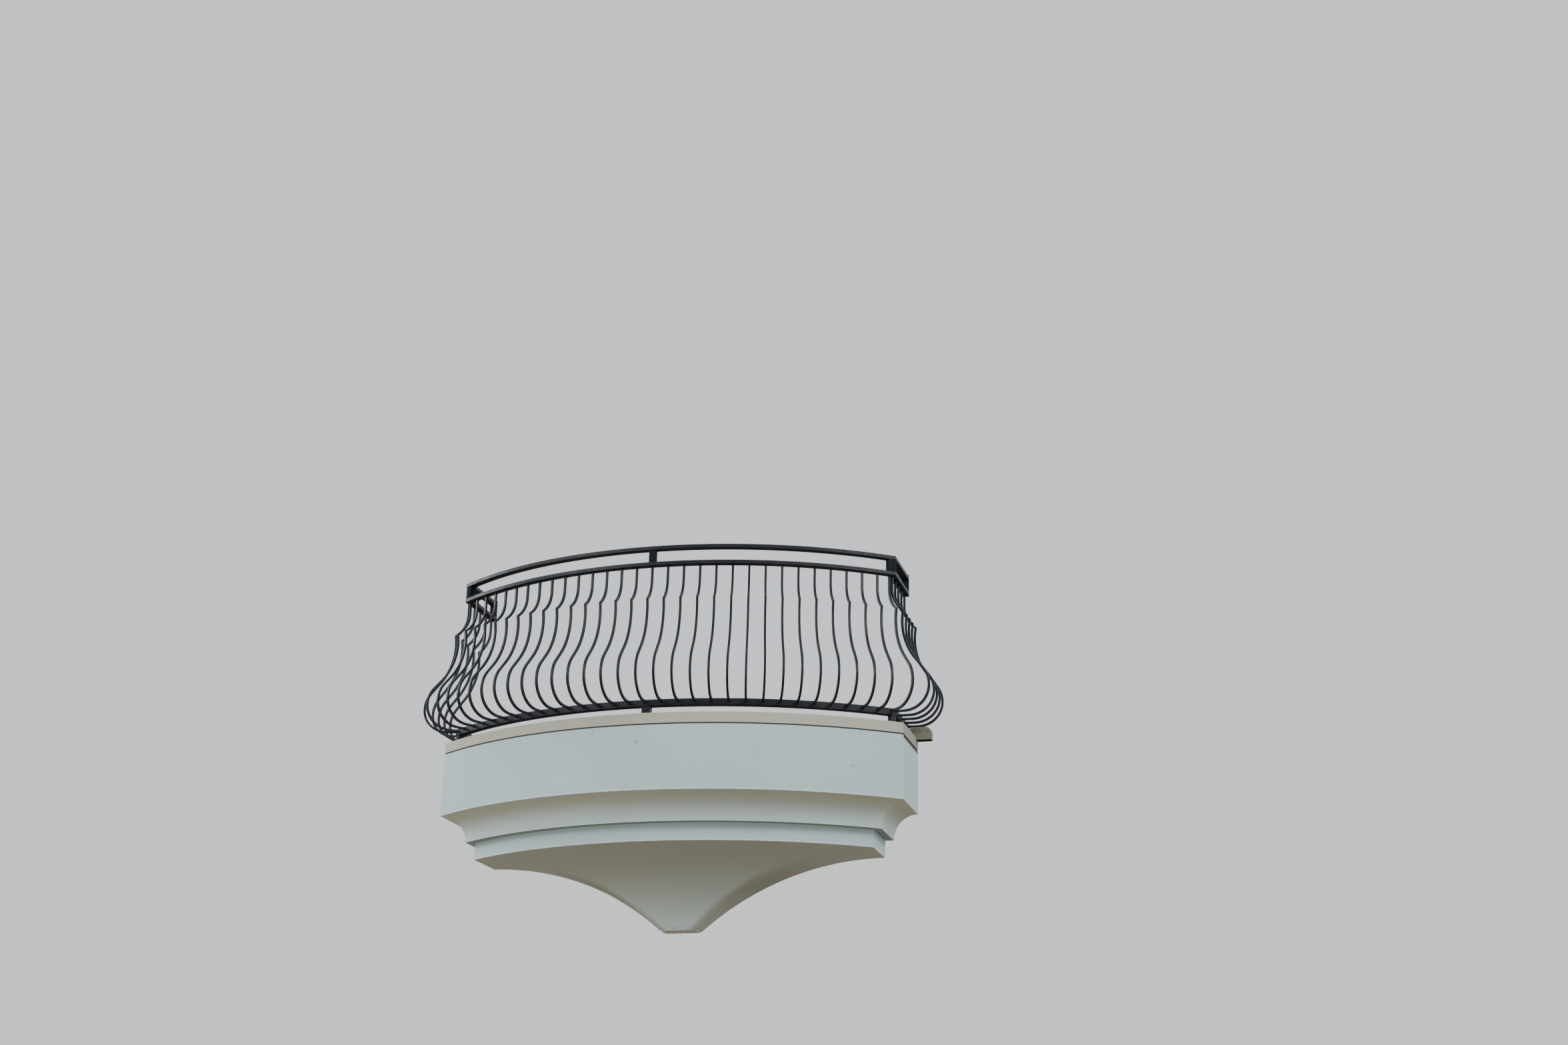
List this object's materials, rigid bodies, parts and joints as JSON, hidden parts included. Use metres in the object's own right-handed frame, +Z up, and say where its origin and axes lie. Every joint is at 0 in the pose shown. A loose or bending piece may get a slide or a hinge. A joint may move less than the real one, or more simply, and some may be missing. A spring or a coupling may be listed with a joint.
{
  "type": "juliet balcony",
  "caption": "Bowed balcony for a facade: a moulded stucco base with a hollow moulding and a flared corbel below, and a belly railing of bent square bars on top.",
  "frame": {"origin": "middle of the tall plain band's flat back, on the wall face", "axes": "+X along the wall, to the right seen from outside; +Y into the wall, so the balcony stands out towards -Y; +Z up"},
  "size_m": [3.388, 1.153, 2.298],
  "materials": {
    "stucco_cap": "beige trowelled stucco, weathered",
    "deck_floor": "grey cement deck, weathered",
    "stucco_body": "pale cool grey smooth stucco",
    "stucco_wall": "brown-beige rough stucco, stained",
    "iron": "dark painted wrought iron, satin"
  },
  "bodies": {
    "root": {"coping": "stucco_cap", "deck_floor": "deck_floor", "drum_band": "stucco_body", "cove_moulding": "stucco_body", "lower_band": "stucco_body", "corbel_bell": "stucco_body", "drain_spout": "stucco_wall", "top_rail_front": "iron", "top_rail_left": "iron", "top_rail_right": "iron", "second_rail_front": "iron", "second_rail_left": "iron", "second_rail_right": "iron", "bottom_bar_front": "iron", "bottom_bar_left": "iron", "bottom_bar_right": "iron", "rail_block_centre": "iron", "rail_block_left": "iron", "rail_block_right": "iron", "wall_plate_left": "iron", "wall_plate_right": "iron", "foot_centre": "iron", "foot_left": "iron", "foot_right": "iron", "balusters_front_left": "iron", "balusters_front_right": "iron", "baluster_centre": "iron", "baluster_corner_left": "iron", "baluster_corner_right": "iron", "balusters_side_left": "iron", "balusters_side_right": "iron"}
  },
  "joints": []
}
